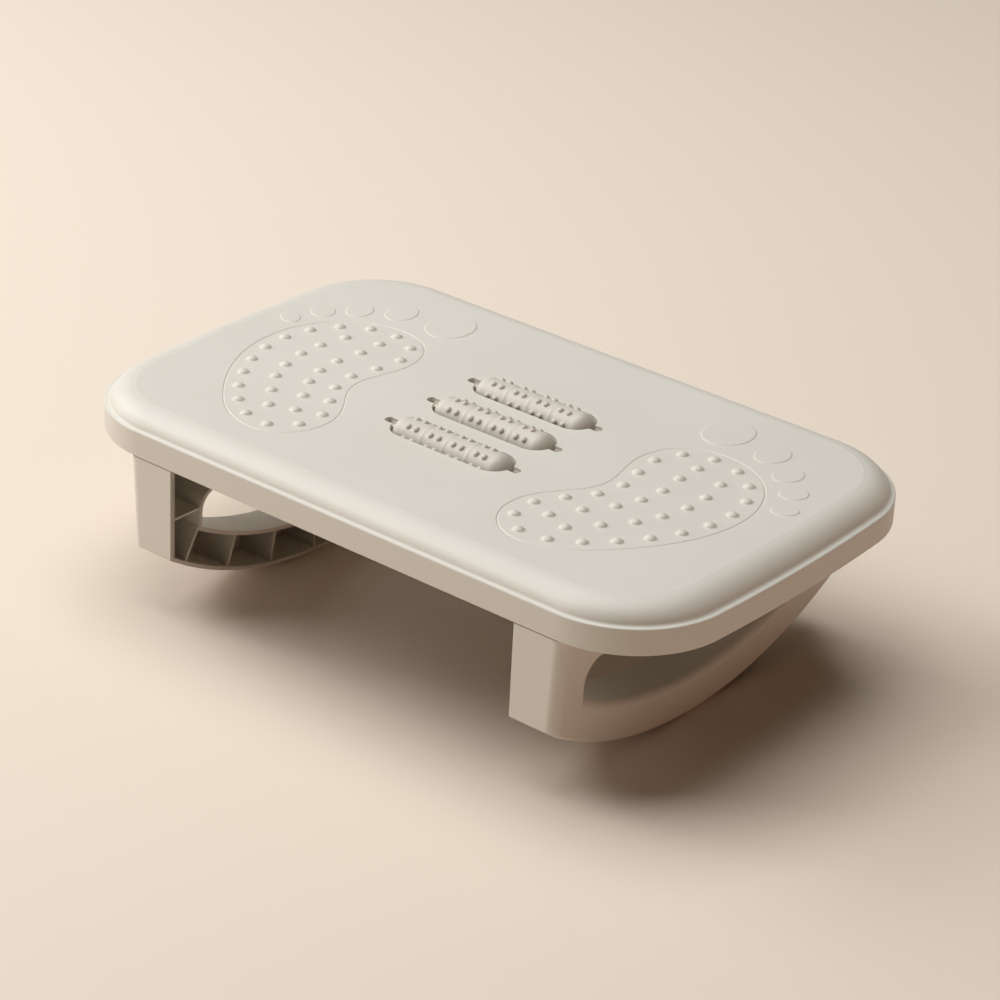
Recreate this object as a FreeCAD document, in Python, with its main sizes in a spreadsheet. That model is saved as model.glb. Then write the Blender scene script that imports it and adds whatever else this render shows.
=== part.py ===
import FreeCAD, Part
import math
import os
import Sketcher

# Rocking footrest with massage rollers, in millimetres.
# The floor is z = 0, +X runs along the deck, -Y is the heel side and +Y the toe side.
# The origin is on the floor under the middle of the deck.

# Driving sizes, one alias each.
SIZES = {
    # deck outline and rim
    "deck_length": 440.0,
    "deck_width": 273.0,
    "deck_height": 126.0,
    "corner_radius": 64.0,
    "end_radius": 1280.0,
    "skirt_height": 16.0,
    "rim_drop": 10.4,
    "crease_inset": 19.6,
    "crease_step": 0.4,
    "crease_round": 0.3,
    "roll_radius": 14.5,
    "plate_lap": 0.4,
    "deck_wall": 2.8,
    "skirt_round": 0.8,
    # stiffening under the deck
    "deck_rib_wall": 1.6,
    "deck_rib_depth": 13.0,
    "long_rib_pitch": 46.0,
    "cross_rib_pitch": 36.0,
    # roller seats in the deck
    "roller_pitch": 37.4,
    "axle_drop": 5.0,
    "slot_end_gap": 2.0,
    "slot_side_gap": 1.1,
    "slot_round": 11.0,
    "well_wall": 2.0,
    "well_depth": 15.0,
    "notch_side_gap": 0.5,
    "saddle_wall": 2.2,
    "saddle_floor": 3.0,
    "snap_bite": 0.2,
    "axle_clearance": 0.02,
    "axle_end_gap": 0.6,
    # rollers
    "barrel_radius": 10.4,
    "section_length": 16.8,
    "cap_length": 7.6,
    "ring_radius": 2.2,
    "ring_sink": 1.8,
    "knob_radius": 1.95,
    "knob_sink": 0.25,
    "knob_gap": 6.0,
    "front_phase": -51.0,
    "middle_phase": -44.0,
    "rear_phase": -24.0,
    # axles
    "axle_radius": 2.5,
    "axle_overhang": 5.8,
    "axle_chamfer": 0.5,
    "bore_clearance": 0.05,
    # runners
    "leg_end_inset": 59.0,
    "leg_width": 34.0,
    "leg_lean": 5.0,
    "leg_inset": 0.4,
    "leg_gap": 0.6,
    "leg_wall": 2.4,
    "leg_corner": 6.8,
    "sole_rise": 41.1,
    "sole_round": 1.8,
    # the see-through hole
    "post_width": 26.6,
    "top_band": 24.0,
    "sole_band": 24.5,
    "hole_corner": 12.0,
    "hole_round": 5.0,
    "hole_wall": 2.4,
    "leg_rib_wall": 1.4,
    "leg_rib_setback": 1.0,
    "leg_rib_start": 30.2,
    "leg_rib_step": 9.3,
    "post_rib_height": 66.0,
    "post_web_inset": 4.0,
    "post_web_wall": 1.0,
    # fixings between the deck and the runners
    "screw_end_inset": 28.0,
    "screw_mid_reach": 40.0,
    "ear_reach": 8.0,
    "ear_thickness": 3.0,
    "ear_margin": 1.4,
    "seat_margin": 1.0,
    "boss_wall": 3.1,
    "screw_radius": 1.5,
    "screw_hole_clearance": 0.3,
    "thread_clearance": 0.02,
    "screw_length": 13.0,
    "screw_head_radius": 3.2,
    "screw_head_height": 2.2,
    "screw_slot_length": 3.8,
    "screw_slot_width": 0.9,
    "screw_slot_depth": 1.2,
    # foot pattern on the deck
    "foot_end_inset": 97.0,
    "foot_heel_inset": 116.5,
    "foot_width": 88.0,
    "foot_length": 144.0,
    "dome_radius": 3.7,
    "dome_height": 2.0,
    "dome_root": 0.6,
    "sole_margin": 8.6,
    "groove_width": 0.9,
    "groove_depth": 0.4,
    "big_toe_radius": 16.2,
    "second_toe_radius": 11.0,
    "third_toe_radius": 10.0,
    "fourth_toe_radius": 9.0,
    "small_toe_radius": 8.8,
    # room past a face for every cut, and how close two places count as one
    "overrun": 3.0,
    "match_tolerance": 0.02,
}

SECTION_COUNT = 4
KNOB_ROWS = 8
LEG_RIB_COUNT = 7
RING_DOME_COUNT = 20
LINE_DOME_COUNT = 7
OFFSET_POINT_COUNT = 60
ROLLER_NAMES = ("front", "middle", "rear")
TOE_NAMES = ("big_toe", "second_toe", "third_toe", "fourth_toe", "small_toe")

# Foot pattern of the right foot, as shares of foot_width and foot_length from its middle.
RING_SHARES = (
    (-0.04, 0.50), (0.34, 0.41), (0.50, 0.17), (0.42, -0.09), (0.19, -0.32),
    (-0.13, -0.485), (-0.345, -0.50), (-0.495, -0.41), (-0.505, -0.28),
    (-0.285, -0.055), (-0.245, 0.07), (-0.285, 0.20), (-0.315, 0.33), (-0.235, 0.45),
)
LINE_SHARES = (
    ((0.20, 0.34), (0.205, -0.03), (-0.15, -0.365)),
    ((-0.04, 0.39), (-0.03, 0.02), (-0.33, -0.325)),
)
TOE_SHARES = ((-0.21, 0.737), (0.19, 0.697), (0.44, 0.586), (0.614, 0.472), (0.71, 0.331))

doc = FreeCAD.newDocument("roller_footrest")
sheet = doc.addObject("Spreadsheet::Sheet", "Sizes")
for row, (alias, number) in enumerate(SIZES.items(), start=1):
    sheet.set("A%d" % row, alias)
    sheet.set("B%d" % row, str(number))
    sheet.setAlias("B%d" % row, alias)
doc.recompute()


class Size:
    """A length that knows both its number and the sheet expression that it comes from."""

    def __init__(self, number, text):
        self.number = number
        self.text = text

    def join(self, other, sign, number):
        text = other.text if isinstance(other, Size) else str(other)
        return Size(number, "(%s %s %s)" % (self.text, sign, text))

    def __add__(self, other):
        return self.join(other, "+", self.number + float(other))

    def __sub__(self, other):
        return self.join(other, "-", self.number - float(other))

    def __mul__(self, other):
        return self.join(other, "*", self.number * float(other))

    def __truediv__(self, other):
        return self.join(other, "/", self.number / float(other))

    def __neg__(self):
        return Size(-self.number, "(-%s)" % self.text)

    def __float__(self):
        return float(self.number)


def size(alias):
    return Size(float(sheet.get(alias)), "Sizes." + alias)


def bind(thing, **values):
    """Tie properties of an object to sheet expressions; a double underscore stands for a dot."""
    for path, value in values.items():
        text = value.text if isinstance(value, Size) else str(value)
        thing.setExpression(path.replace("__", "."), text)


def sine(turn):
    return Size(math.sin(math.radians(float(turn))), "sin(%s)" % turn.text)


def cosine(turn):
    return Size(math.cos(math.radians(float(turn))), "cos(%s)" % turn.text)


def put(thing, x=None, y=None, z=None):
    for axis, value in (("x", x), ("y", y), ("z", z)):
        if value is not None:
            bind(thing, **{"Placement__Base__" + axis: value})


# Heights that several pieces share, from the floor.
NONE = size("deck_height") * 0
deck_top = size("deck_height")
roll_top = deck_top - size("crease_step")
plate_under = deck_top - size("deck_wall")
ledge_top = deck_top - size("rim_drop")
skirt_bottom = ledge_top - size("skirt_height")
roll_inset = size("crease_inset") - size("roll_radius")
axle_height = deck_top - size("axle_drop")

# The runners' places, and the sole's radius from its rise over the runner's half length.
leg_top = skirt_bottom - size("leg_gap")
leg_outer = size("deck_length") / 2 - size("leg_end_inset")
leg_inner = leg_outer - size("leg_width")
leg_reach = size("deck_width") / 2 - size("leg_inset")
sole_radius = (leg_reach * leg_reach / size("sole_rise") + size("sole_rise")) / 2
hole_radius = sole_radius - size("sole_band")
hole_reach = leg_reach - size("post_width")
hole_top = leg_top - size("top_band")
screw_line = leg_inner - size("ear_reach")
boss_radius = size("screw_radius") + size("boss_wall")
seat_radius = boss_radius + size("seat_margin")
ear_radius = seat_radius + size("ear_margin")

# The rollers' lengths, and the slots that they turn in.
barrel_length = size("section_length") * SECTION_COUNT
knob_reach = size("barrel_radius") - size("knob_sink") + size("knob_radius")
slot_length = barrel_length + size("cap_length") * 2 + size("slot_end_gap") * 2
slot_width = knob_reach * 2 + size("slot_side_gap") * 2
axle_length = slot_length + size("axle_overhang") * 2
notch_width = size("axle_radius") * 2 + size("notch_side_gap") * 2
notch_reach = axle_length / 2 + size("axle_end_gap")
snap_width = size("axle_radius") * 2 - size("snap_bite") * 2


def vector(x, y, z=0.0):
    return FreeCAD.Vector(float(x), float(y), float(z))


def origin_plane(body, role):
    return next(item for item in body.Origin.OriginFeatures if item.Role == role)


def add_sketch(body, name, role, height):
    """A sketch parallel to one of the body's own planes, at a bound distance from it."""
    sketch = body.newObject("Sketcher::SketchObject", name)
    sketch.AttachmentSupport = [(origin_plane(body, role), "")]
    sketch.MapMode = "FlatFace"
    bind(sketch, AttachmentOffset__Base__z=height)
    return sketch


def add_arc(sketch, x, y, radius, start, end):
    circle = Part.Circle(vector(x, y), FreeCAD.Vector(0, 0, 1), float(radius))
    return sketch.addGeometry(Part.ArcOfCircle(circle, start, end), False)


def add_line(sketch, x0, y0, x1, y1):
    return sketch.addGeometry(Part.LineSegment(vector(x0, y0), vector(x1, y1)), False)


def measure(sketch, name, kind, value, *where):
    """Add a named dimension that follows the sheet."""
    index = sketch.addConstraint(Sketcher.Constraint(kind, *where, float(value)))
    sketch.renameConstraint(index, name)
    sketch.setExpression("Constraints." + name, value.text)


def close_tangent(sketch, count):
    for i in range(count):
        sketch.addConstraint(Sketcher.Constraint("Tangent", i, 2, (i + 1) % count, 1))


def deck_outline(sketch, inset):
    """The deck's plan: straight long sides, bowed short sides and round corners."""
    half_width = size("deck_width") / 2 - inset
    corner = size("corner_radius") - inset
    end = size("end_radius") - inset
    back_off = size("end_radius") - size("deck_length") / 2
    cy = float(half_width) - float(corner)
    cx = math.sqrt((float(end) - float(corner)) ** 2 - cy**2) - float(back_off)
    turn = math.atan2(cy, cx + float(back_off))
    quarter = math.pi / 2
    add_line(sketch, -cx, -float(half_width), cx, -float(half_width))
    add_arc(sketch, cx, -cy, corner, -quarter, -turn)
    add_arc(sketch, -float(back_off), 0, end, -turn, turn)
    add_arc(sketch, cx, cy, corner, turn, quarter)
    add_line(sketch, cx, float(half_width), -cx, float(half_width))
    add_arc(sketch, -cx, cy, corner, quarter, math.pi - turn)
    add_arc(sketch, float(back_off), 0, end, math.pi - turn, math.pi + turn)
    add_arc(sketch, -cx, -cy, corner, math.pi + turn, 3 * quarter)
    close_tangent(sketch, 8)
    for line in (0, 4):
        sketch.addConstraint(Sketcher.Constraint("Horizontal", line))
    for arc in (3, 5, 7):
        sketch.addConstraint(Sketcher.Constraint("Equal", 1, arc))
    sketch.addConstraint(Sketcher.Constraint("Equal", 2, 6))
    for arc in (2, 6):
        sketch.addConstraint(Sketcher.Constraint("PointOnObject", arc, 3, -1))
    measure(sketch, "front", "DistanceY", half_width, 0, 1, -1, 1)
    measure(sketch, "back", "DistanceY", half_width, -1, 1, 4, 1)
    measure(sketch, "right_centre", "DistanceX", back_off, 2, 3, -1, 1)
    measure(sketch, "left_centre", "DistanceX", back_off, -1, 1, 6, 3)
    measure(sketch, "corner", "Radius", corner, 1)
    measure(sketch, "end", "Radius", end, 2)


def rounded_rectangle(sketch, half_x, half_y, corner):
    x, y = float(half_x), float(half_y)
    r = float(corner)
    quarter = math.pi / 2
    add_line(sketch, r - x, -y, x - r, -y)
    add_arc(sketch, x - r, r - y, r, -quarter, 0)
    add_line(sketch, x, r - y, x, y - r)
    add_arc(sketch, x - r, y - r, r, 0, quarter)
    add_line(sketch, x - r, y, r - x, y)
    add_arc(sketch, r - x, y - r, r, quarter, math.pi)
    add_line(sketch, -x, y - r, -x, r - y)
    add_arc(sketch, r - x, r - y, r, math.pi, 3 * quarter)
    close_tangent(sketch, 8)
    for line in (0, 4):
        sketch.addConstraint(Sketcher.Constraint("Horizontal", line))
    for line in (2, 6):
        sketch.addConstraint(Sketcher.Constraint("Vertical", line))
    for arc in (3, 5, 7):
        sketch.addConstraint(Sketcher.Constraint("Equal", 1, arc))
    measure(sketch, "corner", "Radius", corner, 1)
    measure(sketch, "front", "DistanceY", half_y, 0, 1, -1, 1)
    measure(sketch, "back", "DistanceY", half_y, -1, 1, 4, 1)
    measure(sketch, "left", "DistanceX", half_x, 6, 1, -1, 1)
    measure(sketch, "right", "DistanceX", half_x, -1, 1, 2, 1)


def add_pad(body, sketch, name, length):
    pad = body.newObject("PartDesign::Pad", name)
    pad.Profile = sketch
    bind(pad, Length=length)
    sketch.Visibility = False
    return pad


def add_fillet(body, base, name, radius, chosen):
    """Round the edges of a feature that a test on their bounding box picks out."""
    doc.recompute()
    edges = base.Shape.Edges
    names = ["Edge%d" % (i + 1) for i, edge in enumerate(edges) if chosen(edge.BoundBox)]
    fillet = body.newObject("PartDesign::Fillet", name)
    fillet.Base = (base, names)
    bind(fillet, Radius=radius)
    return fillet


def add_body(name):
    return doc.addObject("PartDesign::Body", name)


def near(a, b):
    return abs(float(a) - float(b)) < float(size("match_tolerance"))


def deck_block(name, wall, bottom):
    """The deck's outer shape, or its hollow when a wall is taken off all round."""
    body = add_body(name)
    upper = add_sketch(body, name + "_upper_plan", "XY_Plane", bottom)
    deck_outline(upper, roll_inset + wall)
    upper_pad = add_pad(body, upper, name + "_upper", roll_top - wall - bottom)

    def upper_rim(edge_box):
        return near(edge_box.ZMin, roll_top - wall)

    add_fillet(body, upper_pad, name + "_roll", size("roll_radius") - wall, upper_rim)
    skirt = add_sketch(body, name + "_skirt_plan", "XY_Plane", bottom)
    deck_outline(skirt, NONE + wall)
    skirt_pad = add_pad(body, skirt, name + "_skirt", ledge_top - wall - bottom)
    return body, skirt_pad


def deck_envelope():
    body, skirt = deck_block("deck_envelope", NONE, skirt_bottom)
    past_x = float(size("deck_length") / 2 - roll_inset)
    past_y = float(size("deck_width") / 2 - roll_inset)

    def ledge_rim(edge_box):
        level = near(edge_box.ZMin, ledge_top) and near(edge_box.ZMax, ledge_top)
        far_x = max(abs(edge_box.XMin), abs(edge_box.XMax)) > past_x
        far_y = max(abs(edge_box.YMin), abs(edge_box.YMax)) > past_y
        return level and (far_x or far_y)

    add_fillet(body, skirt, "skirt_edge", size("skirt_round"), ledge_rim)
    plan = add_sketch(body, "plate_plan", "XY_Plane", plate_under)
    deck_outline(plan, size("crease_inset") - size("plate_lap"))
    plate = add_pad(body, plan, "plate", size("deck_wall"))

    def plate_rim(edge_box):
        return near(edge_box.ZMin, deck_top)

    add_fillet(body, plate, "crease_edge", size("crease_round"), plate_rim)
    return body


def slot_block(name, grow, bottom, height, offset):
    """A round-cornered block over one roller, from the slot's size grown all round."""
    body = add_body(name)
    plan = add_sketch(body, name + "_plan", "XY_Plane", bottom)
    half_x = slot_length / 2 + grow
    half_y = slot_width / 2 + grow
    rounded_rectangle(plan, half_x, half_y, size("slot_round") + grow)
    add_pad(body, plan, name + "_pad", height)
    bind(body, Placement__Base__y=offset)
    return body


def box(name, length, width, height, x, y, z):
    item = doc.addObject("Part::Box", name)
    bind(item, Length=length, Width=width, Height=height)
    put(item, x, y, z)
    return item


def cylinder(name, radius, height, x, y, z):
    item = doc.addObject("Part::Cylinder", name)
    bind(item, Radius=radius, Height=height)
    put(item, x, y, z)
    return item


def sphere(name, radius, x, y, z):
    item = doc.addObject("Part::Sphere", name)
    bind(item, Radius=radius)
    put(item, x, y, z)
    return item


def spin(item, turn):
    """Turn an object about the X axis by a bound angle, in degrees."""
    item.Placement.Rotation = FreeCAD.Rotation(FreeCAD.Vector(1, 0, 0), 1)
    bind(item, Placement__Rotation__Angle=turn)


def rod(name, radius, length, x, y, z):
    """A cylinder that runs along +X from its placed end."""
    item = cylinder(name, radius, length, x, y, z)
    item.Placement.Rotation = FreeCAD.Rotation(FreeCAD.Vector(0, 1, 0), 90)
    return item


def placed(name, form, x=None, y=None, z=None):
    """Another copy of a shape, at its own place."""
    item = doc.addObject("Part::Compound", name)
    item.Links = [form]
    put(item, x, y, z)
    return item


def mirrored(name, source):
    item = doc.addObject("Part::Mirroring", name)
    item.Source = source
    item.Normal = (1, 0, 0)
    return item


def fuse(name, items):
    item = doc.addObject("Part::MultiFuse", name)
    item.Shapes = items
    return item


def cut(name, base, tool):
    item = doc.addObject("Part::Cut", name)
    item.Base = base
    item.Tool = tool
    return item


def feature(name, shape):
    item = doc.addObject("Part::Feature", name)
    item.Shape = shape
    return item


def screw_places():
    """Plan places of one runner's screws, for the runner on the +X side."""
    end = leg_reach - size("screw_end_inset")
    middle = size("screw_mid_reach")
    return [(screw_line, reach) for reach in (-end, -middle, middle, end)]


def roller_offsets():
    return [-size("roller_pitch"), NONE, size("roller_pitch")]


# Deck

def deck_ribs():
    """Straight ribs under the plate, a grid that the wells and the rim cut off."""
    ribs = []
    under = plate_under + size("plate_lap")
    low = plate_under - size("deck_rib_depth")
    height = under - low
    wall = size("deck_rib_wall")
    half_x = size("deck_length") / 2
    half_y = size("deck_width") / 2
    long_pitch = size("long_rib_pitch")
    cross_pitch = size("cross_rib_pitch")
    long_count = int(float(half_x) / float(long_pitch))
    cross_count = int(float(half_y) / float(cross_pitch))
    for i in range(-long_count, long_count + 1):
        at = long_pitch * i - wall / 2
        ribs.append(box("cross_rib_%d" % (i + long_count), wall, half_y * 2, height, at, -half_y, low))
    for i in range(-cross_count, cross_count):
        at = cross_pitch * i + cross_pitch / 2 - wall / 2
        ribs.append(box("long_rib_%d" % (i + cross_count), half_x * 2, wall, height, -half_x, at, low))
    return ribs


def deck_bosses():
    """Screw towers that reach from the plate down to the skirt's lower edge."""
    bosses = []
    height = plate_under + size("plate_lap") - skirt_bottom
    for side in (-1, 1):
        for i, (x, y) in enumerate(screw_places()):
            name = "boss_%d_%d" % (side + 1, i)
            bosses.append(cylinder(name, boss_radius, height, x * side, y, skirt_bottom))
    return bosses


def saddle_blocks():
    """Blocks at both ends of each slot that carry the axle ends."""
    blocks = []
    reach = notch_reach + size("saddle_wall")
    width = size("axle_radius") * 2 + size("saddle_wall") * 2
    low = axle_height - size("axle_radius") - size("saddle_floor")
    height = plate_under + size("plate_lap") - low
    for name, y in zip(ROLLER_NAMES, roller_offsets()):
        blocks.append(box(name + "_saddle", reach * 2, width, height, -reach, y - width / 2, low))
    return blocks


def notch_cuts():
    """Open notches in the plate over the axle ends, with round ends."""
    cuts = []
    half = notch_width / 2
    run = notch_reach - half
    low = deck_top - size("axle_drop") + size("axle_radius")
    height = size("axle_drop") + size("overrun")
    for name, y in zip(ROLLER_NAMES, roller_offsets()):
        cuts.append(box(name + "_notch", run * 2, half * 2, height, -run, y - half, low))
        for side in (-1, 1):
            end = name + "_notch_end_%d" % (side + 1)
            cuts.append(cylinder(end, half, height, run * side, y, low))
    return cuts


def axle_grooves():
    """Round grooves for the axle ends, with a narrower throat that the axle snaps through."""
    cuts = []
    reach = notch_reach
    radius = size("axle_radius") + size("axle_clearance")
    throat = snap_width
    for name, y in zip(ROLLER_NAMES, roller_offsets()):
        cuts.append(rod(name + "_groove", radius, reach * 2, -reach, y, axle_height))
        height = size("axle_drop")
        cuts.append(box(name + "_throat", reach * 2, throat, height, -reach, y - throat / 2, axle_height))
    return cuts


def share_point(share):
    """A point of the right foot's pattern, on top of the deck."""
    middle_x = float(size("deck_length")) / 2 - float(size("foot_end_inset"))
    middle_y = float(size("foot_heel_inset")) - float(size("deck_width")) / 2
    x = middle_x + share[0] * float(size("foot_width"))
    y = middle_y + share[1] * float(size("foot_length"))
    return vector(x, y, deck_top)


def ring_curve():
    curve = Part.BSplineCurve()
    curve.interpolate([share_point(share) for share in RING_SHARES], PeriodicFlag=True)
    return curve


def even_points(curve, count, closed):
    """Points at equal distances along a curve, with both ends when it is open."""
    edge = curve.toShape()
    steps = count if closed else count - 1
    return [edge.valueAt(edge.getParameterByLength(edge.Length * i / steps)) for i in range(count)]


def line_curve(shares):
    start, middle, end = [share_point(share) for share in shares]
    return Part.Arc(start, middle, end)


def foot_domes():
    """Low round domes of one foot: a ring round the sole and two lines inside it."""
    height = float(size("dome_height"))
    rim = float(size("dome_radius"))
    ball = (rim**2 + height**2) / (2 * height)
    centre_drop = FreeCAD.Vector(0, 0, ball - height)
    low = math.degrees(math.asin((ball - height - float(size("dome_root"))) / ball))
    upright = FreeCAD.Vector(0, 0, 1)
    places = even_points(ring_curve(), RING_DOME_COUNT, True)
    for shares in LINE_SHARES:
        places += even_points(line_curve(shares), LINE_DOME_COUNT, False)
    domes = [Part.makeSphere(ball, place - centre_drop, upright, low, 90, 360) for place in places]
    return feature("foot_domes", Part.Compound(domes))


def offset_loop(curve, distance):
    """A closed curve at a steady distance outside another, through even points of it."""
    edge = curve.toShape()
    count = OFFSET_POINT_COUNT
    points = []
    for i in range(count):
        at = edge.getParameterByLength(edge.Length * i / count)
        along = edge.tangentAt(at)
        out = FreeCAD.Vector(along.y, -along.x, 0)
        points.append((edge.valueAt(at), out))
    area = sum(p.cross(points[(i + 1) % count][0]).z for i, (p, out) in enumerate(points))
    flip = 1 if area > 0 else -1
    loop = Part.BSplineCurve()
    loop.interpolate([p + out * (flip * distance) for p, out in points], PeriodicFlag=True)
    return Part.Wire([loop.toShape()])


def band(outer, inner, depth, rise):
    """A flat closed band between two loops, from below the surface to above it."""
    face = Part.Face(outer).cut(Part.Face(inner))
    face.translate(FreeCAD.Vector(0, 0, -depth))
    return face.extrude(FreeCAD.Vector(0, 0, depth + rise)).Solids[0]


def foot_grooves():
    """Fine engraved lines of one foot: the edge of the sole and one circle for each toe."""
    depth = float(size("groove_depth"))
    rise = float(size("overrun"))
    half = float(size("groove_width")) / 2
    margin = float(size("sole_margin"))
    upright = FreeCAD.Vector(0, 0, 1)
    outer = offset_loop(ring_curve(), margin + half)
    inner = offset_loop(ring_curve(), margin - half)
    bands = [band(outer, inner, depth, rise)]
    for name, share in zip(TOE_NAMES, TOE_SHARES):
        radius = float(size(name + "_radius"))
        loops = []
        for reach in (radius + half, radius - half):
            circle = Part.Circle(share_point(share), upright, reach)
            loops.append(Part.Wire([circle.toShape()]))
        bands.append(band(loops[0], loops[1], depth, rise))
    return feature("foot_grooves", Part.Compound(bands))


def make_deck():
    envelope = deck_envelope()
    core = deck_block("deck_core", size("deck_wall"), skirt_bottom - size("overrun"))[0]
    well_low = deck_top - size("well_depth")
    well_height = plate_under + size("plate_lap") - well_low
    inner = deck_ribs() + deck_bosses() + saddle_blocks()
    cuts = notch_cuts() + axle_grooves()
    through = deck_top + size("overrun") * 2 - skirt_bottom
    for name, y in zip(ROLLER_NAMES, roller_offsets()):
        inner.append(slot_block(name + "_well", size("well_wall"), well_low, well_height, y))
        low = skirt_bottom - size("overrun")
        cuts.append(slot_block(name + "_slot", NONE, low, through, y))
    hollow = cut("deck_hollow", core, fuse("deck_inner", inner))
    shell = cut("deck_shell", envelope, hollow)
    pilot = size("screw_radius") + size("thread_clearance")
    for side in (-1, 1):
        for i, (x, y) in enumerate(screw_places()):
            name = "pilot_%d_%d" % (side + 1, i)
            low = skirt_bottom - size("overrun")
            cuts.append(cylinder(name, pilot, size("screw_length") + size("overrun"), x * side, y, low))
    grooves = foot_grooves()
    cuts += [grooves, mirrored("left_foot_grooves", grooves)]
    cut_shell = cut("deck_cut", shell, fuse("deck_cuts", cuts))
    domes = foot_domes()
    return fuse("deck", [cut_shell, domes, mirrored("left_foot_domes", domes)])


# Runners

def leg_profile(sketch, wall):
    """Side view of a runner: upright ends, a flat top and a round sole."""
    radius = sole_radius - wall
    reach = leg_reach - wall
    top = leg_top - wall
    centre = float(sole_radius)
    y, z = float(reach), float(top)
    foot = centre - math.sqrt(float(radius) ** 2 - y**2)
    swing = math.asin(y / float(radius))
    down = 3 * math.pi / 2
    add_arc(sketch, 0, centre, radius, down - swing, down + swing)
    add_line(sketch, y, foot, y, z)
    add_line(sketch, y, z, -y, z)
    add_line(sketch, -y, z, -y, foot)
    for i in range(4):
        sketch.addConstraint(Sketcher.Constraint("Coincident", i, 2, (i + 1) % 4, 1))
    sketch.addConstraint(Sketcher.Constraint("Vertical", 1))
    sketch.addConstraint(Sketcher.Constraint("Horizontal", 2))
    sketch.addConstraint(Sketcher.Constraint("Vertical", 3))
    sketch.addConstraint(Sketcher.Constraint("PointOnObject", 0, 3, -2))
    measure(sketch, "centre", "DistanceY", sole_radius, -1, 1, 0, 3)
    measure(sketch, "sole", "Radius", radius, 0)
    measure(sketch, "front", "DistanceX", reach, 3, 1, -1, 1)
    measure(sketch, "back", "DistanceX", reach, -1, 1, 1, 1)
    measure(sketch, "top", "DistanceY", top, -1, 1, 2, 1)


def lean_profile(sketch, wall):
    """What is taken off the outer side so that it leans in towards the floor."""
    out = leg_outer - wall
    spare = out + size("overrun")
    low = out - size("leg_lean")
    points = ((low, NONE), (spare, NONE), (spare, leg_top), (out, leg_top))
    for i, (x, z) in enumerate(points):
        x1, z1 = points[(i + 1) % 4]
        add_line(sketch, x, z, x1, z1)
    for i in range(4):
        sketch.addConstraint(Sketcher.Constraint("Coincident", i, 2, (i + 1) % 4, 1))
    sketch.addConstraint(Sketcher.Constraint("PointOnObject", 0, 1, -1))
    sketch.addConstraint(Sketcher.Constraint("Horizontal", 0))
    sketch.addConstraint(Sketcher.Constraint("Vertical", 1))
    sketch.addConstraint(Sketcher.Constraint("Horizontal", 2))
    measure(sketch, "low", "DistanceX", low, -1, 1, 0, 1)
    measure(sketch, "spare", "DistanceX", spare, -1, 1, 1, 1)
    measure(sketch, "top", "DistanceY", leg_top, -1, 1, 2, 1)
    measure(sketch, "out", "DistanceX", out, -1, 1, 3, 1)


def leg_block(name, wall, start):
    """A runner's outer shape, or its hollow when a wall is taken off."""
    body = add_body(name)
    profile = add_sketch(body, name + "_profile", "YZ_Plane", start)
    leg_profile(profile, NONE + wall)
    add_pad(body, profile, name + "_pad", leg_outer - wall - start)
    side = add_sketch(body, name + "_lean_profile", "XZ_Plane", NONE)
    lean_profile(side, NONE + wall)
    lean = body.newObject("PartDesign::Pocket", name + "_lean")
    lean.Profile = side
    lean.Type = "ThroughAll"
    lean.Midplane = True
    outer = float(leg_inner) + float(size("leg_width")) / 2

    def upright_end(edge_box):
        return edge_box.XMin > outer and near(edge_box.YMin, edge_box.YMax)

    return body, add_fillet(body, lean, name + "_corners", size("leg_corner") - wall, upright_end)


def hole_block(name, grow, start, length):
    """The see-through hole of a runner, grown all round for the wall about it."""
    body = add_body(name)
    sketch = add_sketch(body, name + "_profile", "YZ_Plane", start)
    radius = hole_radius + grow
    reach = hole_reach + grow
    top = hole_top + grow
    corner = size("hole_corner") + grow
    centre = float(sole_radius)
    y, z, r = float(reach), float(top), float(corner)
    foot = centre - math.sqrt(float(radius) ** 2 - y**2)
    swing = math.asin(y / float(radius))
    quarter = math.pi / 2
    add_arc(sketch, 0, centre, radius, 3 * quarter - swing, 3 * quarter + swing)
    add_line(sketch, y, foot, y, z - r)
    add_arc(sketch, y - r, z - r, r, 0, quarter)
    add_line(sketch, y - r, z, r - y, z)
    add_arc(sketch, r - y, z - r, r, quarter, math.pi)
    add_line(sketch, -y, z - r, -y, foot)
    for i in (0, 5):
        sketch.addConstraint(Sketcher.Constraint("Coincident", i, 2, (i + 1) % 6, 1))
    for i in (1, 2, 3, 4):
        sketch.addConstraint(Sketcher.Constraint("Tangent", i, 2, i + 1, 1))
    for line in (1, 5):
        sketch.addConstraint(Sketcher.Constraint("Vertical", line))
    sketch.addConstraint(Sketcher.Constraint("Horizontal", 3))
    sketch.addConstraint(Sketcher.Constraint("Equal", 2, 4))
    sketch.addConstraint(Sketcher.Constraint("PointOnObject", 0, 3, -2))
    measure(sketch, "centre", "DistanceY", sole_radius, -1, 1, 0, 3)
    measure(sketch, "arch", "Radius", radius, 0)
    measure(sketch, "corner", "Radius", corner, 2)
    measure(sketch, "front", "DistanceX", reach, 5, 1, -1, 1)
    measure(sketch, "back", "DistanceX", reach, -1, 1, 1, 1)
    measure(sketch, "top", "DistanceY", top, -1, 1, 3, 1)
    add_pad(body, sketch, name + "_pad", length)
    return body


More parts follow.
